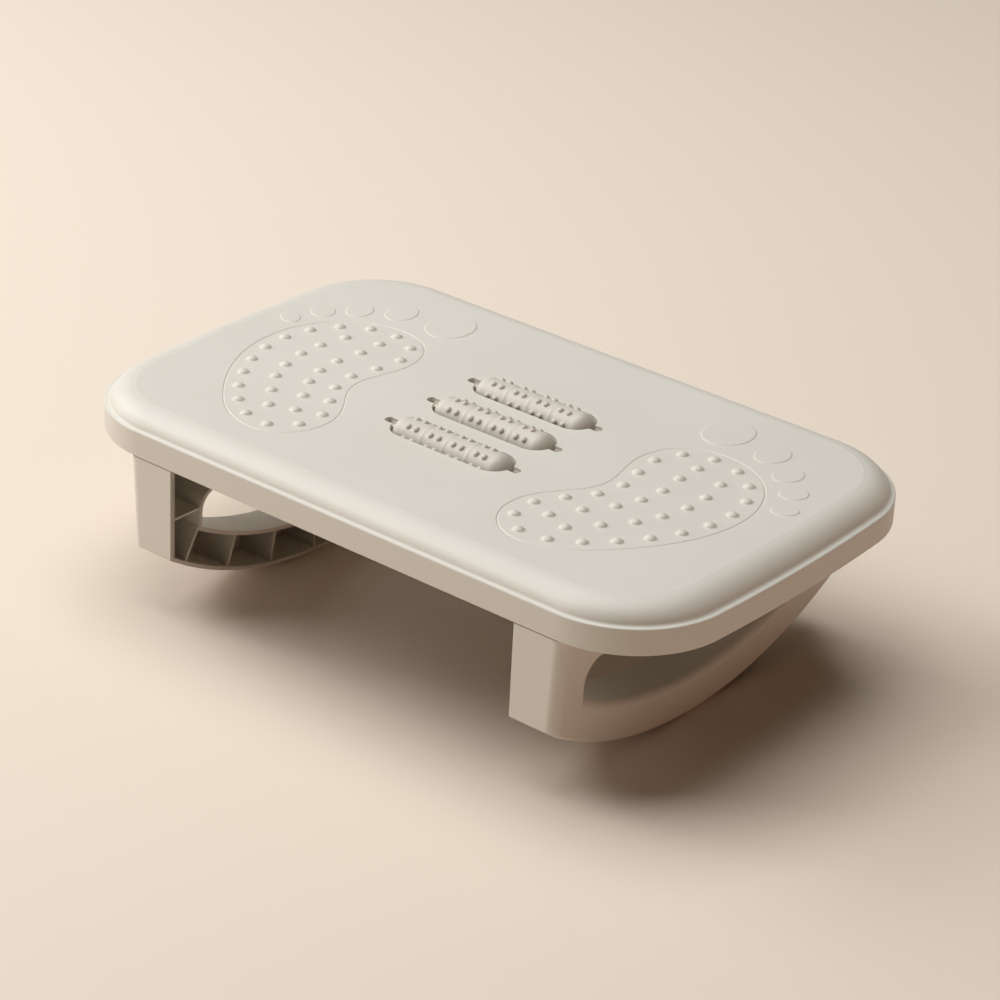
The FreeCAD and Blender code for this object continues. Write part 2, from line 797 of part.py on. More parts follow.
def leg_ribs():
    """Thin ribs inside the hollow runner: radial ones under the hole, and two in each post."""
    start = leg_inner + size("leg_rib_setback")
    width = size("leg_width")
    wall = size("leg_rib_wall")
    ribs = []
    for i in range(LEG_RIB_COUNT):
        turn = size("leg_rib_step") * i - size("leg_rib_start")
        y = sole_radius * sine(turn) - wall / 2 * cosine(turn)
        z = sole_radius - sole_radius * cosine(turn) - wall / 2 * sine(turn)
        rib = box("leg_rib_%d" % i, width, wall, size("sole_band"), start, y, z)
        spin(rib, turn)
        ribs.append(rib)
    web = size("post_web_wall")
    web_at = leg_reach - size("post_web_inset")
    low = size("post_rib_height") - wall / 2
    for i, y in enumerate((-leg_reach, hole_reach)):
        ribs.append(box("post_rib_%d" % i, width, size("post_width"), wall, start, y, low))
    for i, y in enumerate((-web_at, web_at)):
        ribs.append(box("post_web_%d" % i, width, web, leg_top, start, y - web / 2, NONE))
    return fuse("leg_ribs", ribs)


def leg_envelope():
    body, corners = leg_block("leg_envelope", NONE, leg_inner)
    outer = float(leg_inner) + float(size("leg_width")) / 2

    def sole_side(edge_box):
        return edge_box.XMin > outer and near(edge_box.ZMin, 0)

    add_fillet(body, corners, "sole_edge", size("sole_round"), sole_side)
    return body


def leg_ears():
    """Screw ears along the top of the inner side, each with a seat under its deck boss."""
    items = []
    thickness = size("ear_thickness")
    radius = ear_radius
    low = leg_top - thickness
    for i, (x, y) in enumerate(screw_places()):
        run = size("ear_reach") + size("leg_wall")
        items.append(cylinder("ear_end_%d" % i, radius, thickness, x, y, low))
        items.append(box("ear_%d" % i, run, radius * 2, thickness, x, y - radius, low))
        items.append(cylinder("seat_%d" % i, seat_radius, size("leg_gap"), x, y, leg_top))
    return items


def round_hole_edge(name, base):
    """Round the outer edge of the see-through hole."""
    doc.recompute()
    outer = float(leg_inner) + float(size("leg_width")) / 2
    reach = float(hole_reach) + float(size("hole_corner"))
    radius = float(size("hole_round"))
    chosen = []
    for i, edge in enumerate(base.Shape.Edges):
        edge_box = edge.BoundBox
        low = float(sole_radius) - float(hole_radius) - float(size("overrun"))
        beside = edge_box.XMin > outer and max(-edge_box.YMin, edge_box.YMax) < reach
        if beside and edge_box.ZMin > low and on_lean(edge):
            chosen.append((i + 1, radius, radius))
    fillet = doc.addObject("Part::Fillet", name)
    fillet.Base = base
    fillet.Edges = chosen
    return fillet


def on_lean(edge):
    """Whether an edge lies on the leaning outer face of the runner."""
    for vertex in edge.Vertexes:
        share = float(vertex.Z) / float(leg_top)
        if not near(vertex.X, float(leg_outer) - float(size("leg_lean")) * (1 - share)):
            return False
    return True


def make_right_leg():
    wall = size("leg_wall")
    start = leg_inner - size("overrun")
    through = size("leg_width") + size("overrun") * 2
    core = leg_block("leg_core", wall, start)[0]
    hole_ring = hole_block("hole_ring", size("hole_wall"), start, through)
    hollow = cut("leg_hollow", core, hole_ring)
    hollow = cut("leg_ribbed_hollow", hollow, leg_ribs())
    shell = cut("leg_shell", leg_envelope(), hollow)
    holed = cut("leg_holed", shell, hole_block("hole_cut", NONE, start, through))
    rounded = round_hole_edge("leg_rounded", holed)
    holes = []
    low = leg_top - size("ear_thickness") - size("overrun")
    height = size("ear_thickness") + size("leg_gap") + size("overrun") * 2
    hole_wide = size("screw_radius") + size("screw_hole_clearance")
    for i, (x, y) in enumerate(screw_places()):
        holes.append(cylinder("screw_hole_%d" % i, hole_wide, height, x, y, low))
    return cut("right_leg", fuse("leg_eared", [rounded] + leg_ears()), fuse("leg_cuts", holes))


# Screws

def make_screw_form():
    """A pan-head screw that points up, with the underside of its head at z = 0."""
    radius = size("screw_radius")
    head = size("screw_head_height")
    shank_length = size("screw_length") - radius
    shank = cylinder("screw_shank", radius, shank_length, NONE, NONE, NONE)
    tip = doc.addObject("Part::Cone", "screw_tip")
    bind(tip, Radius1=radius, Radius2=NONE, Height=radius)
    put(tip, NONE, NONE, shank_length)
    disc = cylinder("screw_disc", size("screw_head_radius"), head, NONE, NONE, -head)
    doc.recompute()
    pan = doc.addObject("Part::Fillet", "screw_pan")
    pan.Base = disc
    round_off = float(head) / 2
    lower = [i + 1 for i, e in enumerate(disc.Shape.Edges) if near(e.BoundBox.ZMax, -head)]
    pan.Edges = [(i, round_off, round_off) for i in lower]
    slots = []
    slot = size("screw_slot_length")
    width = size("screw_slot_width")
    deep = size("screw_slot_depth")
    for i, (dx, dy) in enumerate(((slot, width), (width, slot))):
        slots.append(box("screw_slot_%d" % i, dx, dy, deep * 2, -dx / 2, -dy / 2, -head - deep))
    solid = fuse("screw_solid", [shank, tip, pan])
    return cut("screw_form", solid, fuse("screw_slots", slots))


def make_screws(name, form, side):
    screws = []
    seat = leg_top - size("ear_thickness")
    for i, (x, y) in enumerate(screw_places()):
        screws.append(placed("%s_%d" % (name, i), form, x * side, y, seat))
    group = doc.addObject("Part::Compound", name)
    group.Links = screws
    return group


# Rollers and axles, modelled along X about the origin and then placed

def roller_knobs():
    """Rows of small round knobs round the barrel, two knobs in each section."""
    out = size("barrel_radius") - size("knob_sink")
    row = []
    for i in range(SECTION_COUNT):
        middle = size("section_length") * (i - (SECTION_COUNT - 1) / 2)
        for side in (-1, 1):
            x = middle + size("knob_gap") / 2 * side
            row.append(sphere("knob_%d_%d" % (i, side + 1), size("knob_radius"), x, NONE, out))
    first = doc.addObject("Part::Compound", "knob_row_0")
    first.Links = row
    rows = [first]
    for i in range(1, KNOB_ROWS):
        copy = placed("knob_row_%d" % i, first)
        copy.Placement.Rotation = FreeCAD.Rotation(FreeCAD.Vector(1, 0, 0), 360 * i / KNOB_ROWS)
        rows.append(copy)
    return rows


def make_roller_form():
    half = barrel_length / 2
    parts = [rod("barrel", size("barrel_radius"), barrel_length, -half, NONE, NONE)]
    for side in (-1, 1):
        dome = doc.addObject("Part::Ellipsoid", "dome_%d" % (side + 1))
        bind(dome, Radius1=size("cap_length"), Radius2=size("barrel_radius"))
        bind(dome, Radius3=size("barrel_radius"))
        put(dome, half * side)
        dome.Placement.Rotation = FreeCAD.Rotation(FreeCAD.Vector(0, 1, 0), 90)
        parts.append(dome)
    for i in range(1, SECTION_COUNT):
        ring = doc.addObject("Part::Torus", "ring_%d" % i)
        bind(ring, Radius1=size("barrel_radius") - size("ring_sink"), Radius2=size("ring_radius"))
        put(ring, size("section_length") * i - half)
        ring.Placement.Rotation = FreeCAD.Rotation(FreeCAD.Vector(0, 1, 0), 90)
        parts.append(ring)
    knobbed = fuse("knobbed_barrel", parts + roller_knobs())
    bore = size("axle_radius") + size("bore_clearance")
    reach = half + size("cap_length") + size("overrun")
    return cut("roller_form", knobbed, rod("roller_bore", bore, reach * 2, -reach, NONE, NONE))


def make_axle_form():
    half = axle_length / 2
    bar = rod("axle_bar", size("axle_radius"), axle_length, -half, NONE, NONE)
    doc.recompute()
    chamfer = doc.addObject("Part::Chamfer", "axle_form")
    chamfer.Base = bar
    flat = float(size("axle_chamfer"))
    ends = [i + 1 for i, e in enumerate(bar.Shape.Edges) if near(e.BoundBox.XMin, e.BoundBox.XMax)]
    chamfer.Edges = [(i, flat, flat) for i in ends]
    return chamfer


def main():
    deck = make_deck()
    right_leg = make_right_leg()
    kept = [deck, right_leg, mirrored("left_leg", right_leg)]
    screw_form = make_screw_form()
    kept.append(make_screws("right_leg_screws", screw_form, 1))
    kept.append(make_screws("left_leg_screws", screw_form, -1))
    roller_form = make_roller_form()
    axle_form = make_axle_form()
    for name, y in zip(ROLLER_NAMES, roller_offsets()):
        roller = placed(name + "_roller", roller_form, None, y, axle_height)
        spin(roller, size(name + "_phase"))
        kept += [roller, placed(name + "_axle", axle_form, None, y, axle_height)]
    doc.recompute()
    for item in doc.Objects:
        if "Invalid" in item.State or "Error" in item.State:
            raise RuntimeError("%s failed: %s" % (item.Name, item.State))
    os.makedirs("parts", exist_ok=True)
    for item in kept:
        item.Label = item.Name
        shape = item.Shape
        if shape.isNull() or not shape.isValid():
            raise RuntimeError("%s has no valid shape" % item.Label)
        print(item.Label, len(shape.Solids), round(shape.Volume, 1))
    for item in kept:
        item.Shape.exportStep("parts/%s.step" % item.Label)


main()
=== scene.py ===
import math

import bpy
import numpy as np
from mathutils import Matrix, Vector
from mathutils.geometry import delaunay_2d_cdt


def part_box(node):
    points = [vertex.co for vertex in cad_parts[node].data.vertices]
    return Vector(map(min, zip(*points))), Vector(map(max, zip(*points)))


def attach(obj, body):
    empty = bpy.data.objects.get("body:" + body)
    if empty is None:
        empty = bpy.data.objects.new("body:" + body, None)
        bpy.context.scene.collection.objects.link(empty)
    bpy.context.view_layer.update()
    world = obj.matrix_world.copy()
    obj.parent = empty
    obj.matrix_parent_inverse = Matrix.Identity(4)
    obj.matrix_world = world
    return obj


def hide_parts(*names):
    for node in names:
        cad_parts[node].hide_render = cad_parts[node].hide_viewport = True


# The looks of a rocking footrest with massage rollers. Shapes are in millimetres in the packed
# part's frame, and become metres when each piece is made.
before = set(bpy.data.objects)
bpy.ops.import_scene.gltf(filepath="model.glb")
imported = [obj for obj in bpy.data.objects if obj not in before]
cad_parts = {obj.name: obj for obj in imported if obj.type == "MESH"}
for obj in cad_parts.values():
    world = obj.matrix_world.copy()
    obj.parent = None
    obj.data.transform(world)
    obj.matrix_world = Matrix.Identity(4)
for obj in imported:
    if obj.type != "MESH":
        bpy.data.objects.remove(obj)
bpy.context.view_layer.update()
MM = 0.001

# The deck's place and size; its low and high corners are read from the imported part.
deck_low, deck_high = [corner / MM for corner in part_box("deck")]
ROLLERS = ("front_roller", "middle_roller", "rear_roller")
HALF_LENGTH = 220.0
HALF_WIDTH = deck_high.y
DECK_HEIGHT = 26.4
SKIRT_BOTTOM = deck_low.z
DECK_TOP = SKIRT_BOTTOM + DECK_HEIGHT

# Deck outline, rim and walls, as in the part's source.
CORNER_RADIUS = 64.0
END_RADIUS = 1280.0
BACK_OFF = END_RADIUS - HALF_LENGTH
CORNER_Y = HALF_WIDTH - CORNER_RADIUS
CORNER_X = math.sqrt((END_RADIUS - CORNER_RADIUS) ** 2 - CORNER_Y**2) - BACK_OFF
CORNER_TURN = math.atan2(CORNER_Y, CORNER_X + BACK_OFF)
SIDE_STEPS = 24
CORNER_STEPS = 26
END_STEPS = 14
RIM_DROP = 10.4
CREASE_INSET = 19.6
CREASE_STEP = 0.4
ROLL_RADIUS = 14.5
DECK_WALL = 2.8
UNDER_LAP = 1.0
SKIRT_SHARES = (0.33, 0.66)
SKIRT_ROUND = 0.8
EDGE_ROUND = 0.4

# The roll between ledge and field as the photograph shows it: a superellipse from a foot inset to a top
# inset, each given along the sides and at the ends. It ends at a share of its run, where a fillet takes
# it to the ledge, and a small soft step leads from its top up to the field.
VALLEY = (2.2, 4.0)
CREASE = (16.9, 18.9)
ROLL_POWER = 1.75
ROLL_END = 0.98
SOFT_STEP = 0.2
SOFT_WIDTH = 2.0

# Ribs and screw towers under the deck.
RIB_WALL = 1.6
RIB_DEPTH = 13.0
RIB_LAP = 0.5
RIB_INSETS = (DECK_WALL / 2, 4.0, 6.5, 7.5, 9.0, 11.0, 13.5, 16.5, CREASE_INSET)
CROSS_RIB_PITCH = 46.0
LONG_RIB_PITCH = 36.0
BOSS_RADIUS = 4.6
BOSS_POINTS = 24
BOSS_X = 119.0
BOSS_REACHES = (-108.1, -40.0, 40.0, 108.1)
PILOT_RADIUS = 1.52
PILOT_DEPTH = 13.0
AXIS_GAP = 0.01

# Roller slots.
ROLLER_PITCH = 37.4
AXLE_DROP = 5.0
SLOT_HALF_LENGTH = 42.8
SLOT_HALF_WIDTH = 12.9
SLOT_CORNER = 12.6
SLOT_EDGE = 0.5
NOTCH_HALF = 3.0
NOTCH_REACH = 49.6
NOTCH_CORNER = 2.3
NOTCH_FILLET = 0.8
NOTCH_DEPTH = 2.5
THROAT_HALF = 2.3
GROOVE_RADIUS = 2.52
GROOVE_STEPS = 16
OPEN_BAND = 1.0
WELL_WALL = 2.0
WELL_DEPTH = 15.0
SADDLE_WALL = 2.2
SADDLE_HALF = 4.7
SADDLE_DEPTH = 10.5
SADDLE_LAP = 0.4

# Foot pattern. Shares are parts of its width and length, from its middle.
FOOT_X = 123.0
FOOT_Y = -20.0
FOOT_WIDTH = 88.0
FOOT_LENGTH = 144.0
DOME_RADIUS = 3.7
DOME_HEIGHT = 2.0
DOME_FILLET = 0.9
DOME_LAP = 0.1
DOME_POINTS = 28
FOOT_SINK = 0.02
SOLE_MARGIN = 8.6
SOLE_STEPS = 150
LINE_HALF = 0.85
LINE_DEPTH = 0.5
LINE_STEPS = (-1.0, -0.62, -0.3, 0.0, 0.3, 0.62, 1.0)
CURVE_STEPS = 40
RING_DOMES = 20
RING_SHARES = (
    (-0.04, 0.50), (0.34, 0.41), (0.50, 0.17), (0.42, -0.09), (0.19, -0.32),
    (-0.13, -0.485), (-0.345, -0.50), (-0.495, -0.41), (-0.505, -0.28),
    (-0.285, -0.055), (-0.245, 0.07), (-0.285, 0.20), (-0.315, 0.33), (-0.235, 0.45),
)
LINE_SHARES = (
    (0.20, 0.34), (0.24, 0.21), (0.24, 0.09), (0.195, -0.035), (0.12, -0.145), (-0.01, -0.255),
    (-0.15, -0.365), (-0.04, 0.39), (-0.04, 0.27), (-0.015, 0.14), (-0.035, 0.02),
    (-0.10, -0.09), (-0.22, -0.205), (-0.33, -0.325),
)
# Toe pads of the right foot: place as shares, length, width, and the turn of the long axis.
TOES = (
    ((-0.204, 0.736), 36.6, 30.2, 87.0),
    ((0.195, 0.698), 25.4, 19.8, 83.0),
    ((0.436, 0.593), 21.4, 17.2, 78.0),
    ((0.611, 0.476), 18.0, 16.2, 50.0),
    ((0.706, 0.334), 17.0, 12.8, 38.0),
)
TOE_HEIGHT = 0.45
TOE_EDGE = 0.9
TOE_STEPS = 6
TOE_POINTS = 64

# Rollers.
BARREL_RADIUS = 10.4
SECTION_LENGTH = 16.8
SECTION_COUNT = 4
CAP_LENGTH = 8.2
RING_HEIGHT = 0.26
RING_HALF = 1.9
RING_POINTS = 9
BARREL_STEPS = 96
BORE_RADIUS = 2.55
KNOB_ROWS = 8
KNOB_GAP = 6.0
KNOB_RADIUS = 1.9
KNOB_HEIGHT = 1.6
KNOB_FILLET = 0.45
KNOB_LAP = 0.05
KNOB_POINTS = 20
ROLLER_PHASES = (-57.0, -44.0, -24.0)

# Plastics as (lighter tone, deeper tone, roughness), and zinc-plated steel as (deeper, lighter).
DECK_PLASTIC = ((0.66, 0.62, 0.545), (0.64, 0.60, 0.525), 0.46)
ROLLER_PLASTIC = ((0.605, 0.55, 0.478), (0.58, 0.525, 0.455), 0.46)
AXLE_PLASTIC = ((0.66, 0.55, 0.44), (0.60, 0.49, 0.39), 0.38)
STEEL_TONES = ((0.42, 0.43, 0.44), (0.60, 0.60, 0.59))
FLOOR_COLOR = (0.76, 0.645, 0.53)

# Camera, solved from the photograph's straight edges and known sizes, in metres.
CAMERA_PLACE = Vector((1.0669, -1.3542, 0.9588))
CAMERA_RIGHT = Vector((0.7723, 0.6336, 0.0450))
CAMERA_AHEAD = Vector((-0.5487, 0.7011, -0.4554))
CAMERA_SENSOR = 36.0
CAMERA_LENS = 119.40

# Soft lights as (name, place in metres, width, height, power, tint), and the light from all round.
LIGHTS = (
    ("left", (-2.4, -0.3, 1.5), 1.4, 1.4, 28, (0.93, 0.96, 1.0)),
    ("key", (-1.6, -1.2, 2.2), 1.4, 1.4, 34, (0.92, 0.96, 1.0)),
    ("top", (-0.45, 0.2, 2.95), 2.4, 2.4, 65.5, (0.98, 0.99, 0.985)),
    ("left_low", (-2.6, -1.4, 0.6), 1.4, 0.8, 14, (1.0, 0.93, 0.9)),
    ("front_low", (-0.7, -2.7, 0.5), 1.8, 0.8, 7, (1.0, 0.72, 0.55)),
    ("right_low", (2.5, 0.5, 0.2), 1.8, 0.4, 7.5, (1.0, 0.55, 0.37)),
)
FAINT_COLOR = (1.0, 0.94, 0.88)
FAINT_STRENGTH = 0.02
BACKDROP_COLOR = (0.86, 0.81, 0.75)
FLOOR_REACH = 6.0

MERGE_DISTANCE = 0.00001
QUARTER = math.pi / 2


def crosses(first, last, points):
    """Which points have this edge to their right, level with them."""
    over = (first[1] > points[:, 1]) != (last[1] > points[:, 1])
    rise = last[1] - first[1]
    if rise == 0:
        return over
    meets = first[0] + (points[:, 1] - first[1]) * (last[0] - first[0]) / rise
    return over & (points[:, 0] < meets)


def new_object(name, data):
    """A new object in the scene's collection."""
    item = bpy.data.objects.new(name, data)
    bpy.context.scene.collection.objects.link(item)
    return item


class Shell:
    """Points and faces of one moulded piece. Loops run anticlockwise, seen from outside or above."""

    def __init__(self):
        self.points = []
        self.faces = []

    def add(self, points):
        """New points, and their numbers."""
        start = len(self.points)
        self.points.extend(Vector(point) for point in points)
        return list(range(start, len(self.points)))

    def bridge(self, first, second, closed=True):
        """Four-sided faces between two loops of point numbers."""
        count = len(first)
        for i in range(count if closed else count - 1):
            j = (i + 1) % count
            self.faces.append((first[i], first[j], second[j], second[i]))

    def chain(self, loops, closed=True):
        """A skin over loops of points, and the loops' numbers."""
        ids = [self.add(loop) for loop in loops]
        for first, second in zip(ids, ids[1:]):
            self.bridge(first, second, closed)
        return ids

    def cap(self, ring, tip):
        """Triangles from a loop to one point."""
        top = self.add([tip])[0]
        for i, here in enumerate(ring):
            self.faces.append((here, ring[(i + 1) % len(ring)], top))

    def fill(self, loops, up=True):
        """Flat triangles between plan loops: inside the first, and out and in of the others in turn."""
        ids = [i for loop in loops for i in loop]
        plan = [self.points[i].to_2d() for i in ids]
        edges = []
        start = 0
        for loop in loops:
            count = len(loop)
            edges += [(start + i, start + (i + 1) % count) for i in range(count)]
            start += count
        made = delaunay_2d_cdt(plan, edges, [], 1, MERGE_DISTANCE)
        triangles, sources = made[2], made[3]
        faces = np.array([[sources[i][0] for i in face] for face in triangles])
        flat = np.array([list(point) for point in plan])
        middles = flat[faces].mean(axis=1)
        inside = np.zeros(len(middles), dtype=bool)
        for first, last in edges:
            inside ^= crosses(flat[first], flat[last], middles)
        for face in faces[inside]:
            corners = [ids[i] for i in face]
            self.faces.append(corners if up else corners[::-1])

    def piece(self, name, smooth_angle=35.0):
        """The finished object, in metres, with smooth shading between its sharp edges."""
        mesh = bpy.data.meshes.new(name)
        mesh.from_pydata([point * MM for point in self.points], [], self.faces)
        mesh.validate()
        mesh.shade_smooth()
        mesh.set_sharp_from_angle(angle=math.radians(smooth_angle))
        item = new_object(name, mesh)
        weights = item.modifiers.new("even_normals", "WEIGHTED_NORMAL")
        weights.keep_sharp = True
        return item


# Outlines in plan

def arc_points(x, y, radius, start, end, steps):
    """Points on an arc, without its last one."""
    angles = [start + (end - start) * i / steps for i in range(steps)]
    return [(x + radius * math.cos(a), y + radius * math.sin(a)) for a in angles]


def line_points(start, end, steps):
    """Points on a straight line, without its last one."""
    shares = [i / steps for i in range(steps)]
    return [(start[0] + (end[0] - start[0]) * s, start[1] + (end[1] - start[1]) * s) for s in shares]


def deck_outline(insets, height):
    """The deck's plan inside its edge: long sides, bowed short sides and round corners between."""
    side = HALF_WIDTH - insets[0]
    end = END_RADIUS - insets[1]
    corner = CORNER_RADIUS - (insets[0] + insets[1]) / 2
    corner_y = side - corner
    corner_x = math.sqrt((end - corner) ** 2 - corner_y**2) - BACK_OFF
    turn = math.atan2(corner_y, corner_x + BACK_OFF)
    plan = line_points((-corner_x, -side), (corner_x, -side), SIDE_STEPS)
    plan += arc_points(corner_x, -corner_y, corner, -QUARTER, -turn, CORNER_STEPS)
    plan += arc_points(-BACK_OFF, 0, end, -turn, turn, END_STEPS)
    plan += arc_points(corner_x, corner_y, corner, turn, QUARTER, CORNER_STEPS)
    plan += line_points((corner_x, side), (-corner_x, side), SIDE_STEPS)
    plan += arc_points(-corner_x, corner_y, corner, QUARTER, math.pi - turn, CORNER_STEPS)
    plan += arc_points(BACK_OFF, 0, end, math.pi - turn, math.pi + turn, END_STEPS)
    plan += arc_points(-corner_x, -corner_y, corner, math.pi + turn, 3 * QUARTER, CORNER_STEPS)
    return [(x, y, height) for x, y in plan]


def slot_outline(grow, y, height, notch=True):
    """One roller slot in plan, with or without the notches for the axle ends."""
    corner_x = SLOT_HALF_LENGTH - SLOT_CORNER
    corner_y = SLOT_HALF_WIDTH - SLOT_CORNER
    corner = SLOT_CORNER + grow
    end = []
    start = 0.0
    if notch:
        half = NOTCH_HALF + grow
        tip = NOTCH_CORNER + grow
        fillet = NOTCH_FILLET - grow
        centre_y = NOTCH_HALF + NOTCH_FILLET
        rise = centre_y - corner_y
        centre_x = corner_x + math.sqrt((SLOT_CORNER + NOTCH_FILLET) ** 2 - rise**2)
        start = math.atan2(rise, centre_x - corner_x)
        tip_x = NOTCH_REACH - NOTCH_CORNER
        end += arc_points(tip_x, NOTCH_HALF - NOTCH_CORNER, tip, 0, QUARTER, 6)
        end += line_points((tip_x, half), (centre_x, half), 2)
        end += arc_points(centre_x, centre_y, fillet, -QUARTER, start - math.pi, 4)
    else:
        end += line_points((SLOT_HALF_LENGTH + grow, 0), (SLOT_HALF_LENGTH + grow, corner_y), 2)
    end += arc_points(corner_x, corner_y, corner, start, QUARTER, 12)
    end += line_points((corner_x, corner_y + corner), (0, corner_y + corner), 8)
    far = [(-px, py) for px, py in reversed(end[1:])]
    top = end + [(0, corner_y + corner)] + far
    if notch:
        left = (-NOTCH_REACH - grow, NOTCH_HALF - NOTCH_CORNER)
    else:
        left = (-SLOT_HALF_LENGTH - grow, 0)
    top.append(left)
    bottom = [(px, -py) for px, py in reversed(top)]
    if not notch:
        bottom = bottom[1:-1]
    return [(px, py + y, height) for px, py in top + bottom]


def under_section():
    """The rim's inner side as (inset, height), from under the plate down to the skirt's foot."""
    centre = DECK_TOP - CREASE_STEP - ROLL_RADIUS
    under = DECK_TOP - RIM_DROP - DECK_WALL
    inner = ROLL_RADIUS - DECK_WALL
    section = [(CREASE_INSET + UNDER_LAP, centre + inner)]
    last = math.acos((under - centre) / inner)
    for i in range(9):
        turn = last * i / 8
        section.append((CREASE_INSET - inner * math.sin(turn), centre + inner * math.cos(turn)))
    section.append((DECK_WALL, under))
    section.append((DECK_WALL, SKIRT_BOTTOM + EDGE_ROUND))
    for i in range(1, 4):
        turn = QUARTER * i / 3
        inset = DECK_WALL - EDGE_ROUND * (1 - math.cos(turn))
        section.append((inset, SKIRT_BOTTOM + EDGE_ROUND * (1 - math.sin(turn))))
    return section


def skirt_section():
    """The skirt's outer side as (inset, height), from its foot up and over its top edge."""
    ledge = DECK_TOP - RIM_DROP
    section = []
    for i in range(4):
        turn = QUARTER * i / 3
        inset = EDGE_ROUND * (1 - math.sin(turn))
        section.append((inset, SKIRT_BOTTOM + EDGE_ROUND * (1 - math.cos(turn))))
    for share in SKIRT_SHARES:
        section.append((0.0, SKIRT_BOTTOM + (ledge - SKIRT_BOTTOM) * share))
    for i in range(6):
        turn = QUARTER * i / 5
        inset = SKIRT_ROUND * (1 - math.cos(turn))
        section.append((inset, ledge - SKIRT_ROUND * (1 - math.sin(turn))))
    return section


def roll_section(valley, crease):
    """The soft roll between ledge and field as (inset, height), for one pair of insets."""
    ledge = DECK_TOP - RIM_DROP
    top = DECK_TOP - SOFT_STEP
    rise = top - ledge
    run = crease - valley
    rest = 1 - ROLL_END**ROLL_POWER
    slope = rise / run * ROLL_END ** (ROLL_POWER - 1) * rest ** (1 / ROLL_POWER - 1)
    lean = math.atan(slope)
    inset = crease - run * ROLL_END
    height = ledge + rise * rest ** (1 / ROLL_POWER)
    fillet = (height - ledge) / (1 - math.cos(lean))
    section = []
    for i in range(8):
        turn = lean * i / 8
        across = inset - fillet * (math.sin(lean) - math.sin(turn))
        section.append((across, ledge + fillet * (1 - math.cos(turn))))
    first = math.asin(ROLL_END ** (ROLL_POWER / 2))
    last = math.asin((SOFT_WIDTH / 2 / run) ** (ROLL_POWER / 2))
    for i in range(17):
        turn = first + (last - first) * i / 16
        share = math.sin(turn) ** (2 / ROLL_POWER)
        height = ledge + rise * math.cos(turn) ** (2 / ROLL_POWER)
        section.append((crease - run * share, height))
    start = section[-1]
    for i in range(1, 9):
        share = i / 8
        blend = share * share * (3 - 2 * share)
        inset = start[0] + SOFT_WIDTH * share
        section.append((inset, start[1] + (DECK_TOP - start[1]) * blend))
    return section


def rim_profile():
    """The rim's section: each point's insets along the sides and at the ends, and its height."""
    section = [((inset, inset), height) for inset, height in under_section() + skirt_section()]
    side = roll_section(VALLEY[0], CREASE[0])
    end = roll_section(VALLEY[1], CREASE[1])
    for (side_inset, side_height), (end_inset, end_height) in zip(side, end):
        section.append(((side_inset, end_inset), (side_height + end_height) / 2))
    return section


# Foot pattern

def share_point(share):
    """A place in the right foot's pattern, in plan."""
    return Vector((FOOT_X + share[0] * FOOT_WIDTH, FOOT_Y + share[1] * FOOT_LENGTH))


def closed_curve(points, count):
    """Even points and directions on the smooth closed curve through some points."""
    knots = np.array([list(p) for p in points])
    total = len(knots)
    spans = np.linalg.norm(np.roll(knots, -1, axis=0) - knots, axis=1)
    system = np.zeros((total, total))
    right = np.zeros((total, 2))
    for i in range(total):
        before, after = spans[i - 1], spans[i]
        system[i, i - 1] += after
        system[i, i] += 2 * (before + after)
        system[i, (i + 1) % total] += before
        step_after = (knots[(i + 1) % total] - knots[i]) / after
        step_before = (knots[i] - knots[i - 1]) / before
        right[i] = 3 * (after * step_before + before * step_after)
    slopes = np.linalg.solve(system, right)
    fine = []
    for i in range(total):
        a, b = knots[i], knots[(i + 1) % total]
        da, db = slopes[i] * spans[i], slopes[(i + 1) % total] * spans[i]
        for t in np.arange(0, 1, 1 / CURVE_STEPS):
            low = (2 * t**3 - 3 * t**2 + 1) * a + (t**3 - 2 * t**2 + t) * da
            fine.append(low + (3 * t**2 - 2 * t**3) * b + (t**3 - t**2) * db)
    fine = np.array(fine + [fine[0]])
    lengths = np.concatenate([[0], np.cumsum(np.linalg.norm(np.diff(fine, axis=0), axis=1))])
    wanted = np.arange(count) * lengths[-1] / count
    places = np.stack([np.interp(wanted, lengths, fine[:, axis]) for axis in (0, 1)], -1)
    along = np.roll(places, -1, axis=0) - np.roll(places, 1, axis=0)
    along /= np.linalg.norm(along, axis=1)[:, None]
    area = np.sum(places[:, 0] * np.roll(places[:, 1], -1) - np.roll(places[:, 0], -1) * places[:, 1])
    if area < 0:
        places, along = places[::-1], -along[::-1]
    return places, along


def circle(centre, radius, steps):
    """Points on a full circle in plan, anticlockwise."""
    return arc_points(centre[0], centre[1], radius, 0, 2 * math.pi, steps)


def dome_places():
    """Plan places of one foot's domes: evenly round the sole, and in two lines inside it."""
    ring = closed_curve([share_point(share) for share in RING_SHARES], RING_DOMES)[0]
    return [Vector(place) for place in ring] + [share_point(share) for share in LINE_SHARES]


def mirrored_plan(plan):
    """The same loop for the left foot, still anticlockwise."""
    return [(-x, y) for x, y in reversed(plan)]


def sole_groove(mirror):
    """Loops of the engraved line round one sole, from its outer edge to its inner one."""
    places, along = closed_curve([share_point(share) for share in RING_SHARES], SOLE_STEPS)
    out = np.stack([along[:, 1], -along[:, 0]], -1)
    loops = []
    for step in LINE_STEPS:
        height = DECK_TOP - LINE_DEPTH * (1 + math.cos(math.pi * step)) / 2
        plan = [tuple(place) for place in places + out * (SOLE_MARGIN - LINE_HALF * step)]
        plan = mirrored_plan(plan) if mirror else plan
        loops.append([(x, y, height) for x, y in plan])
    return loops


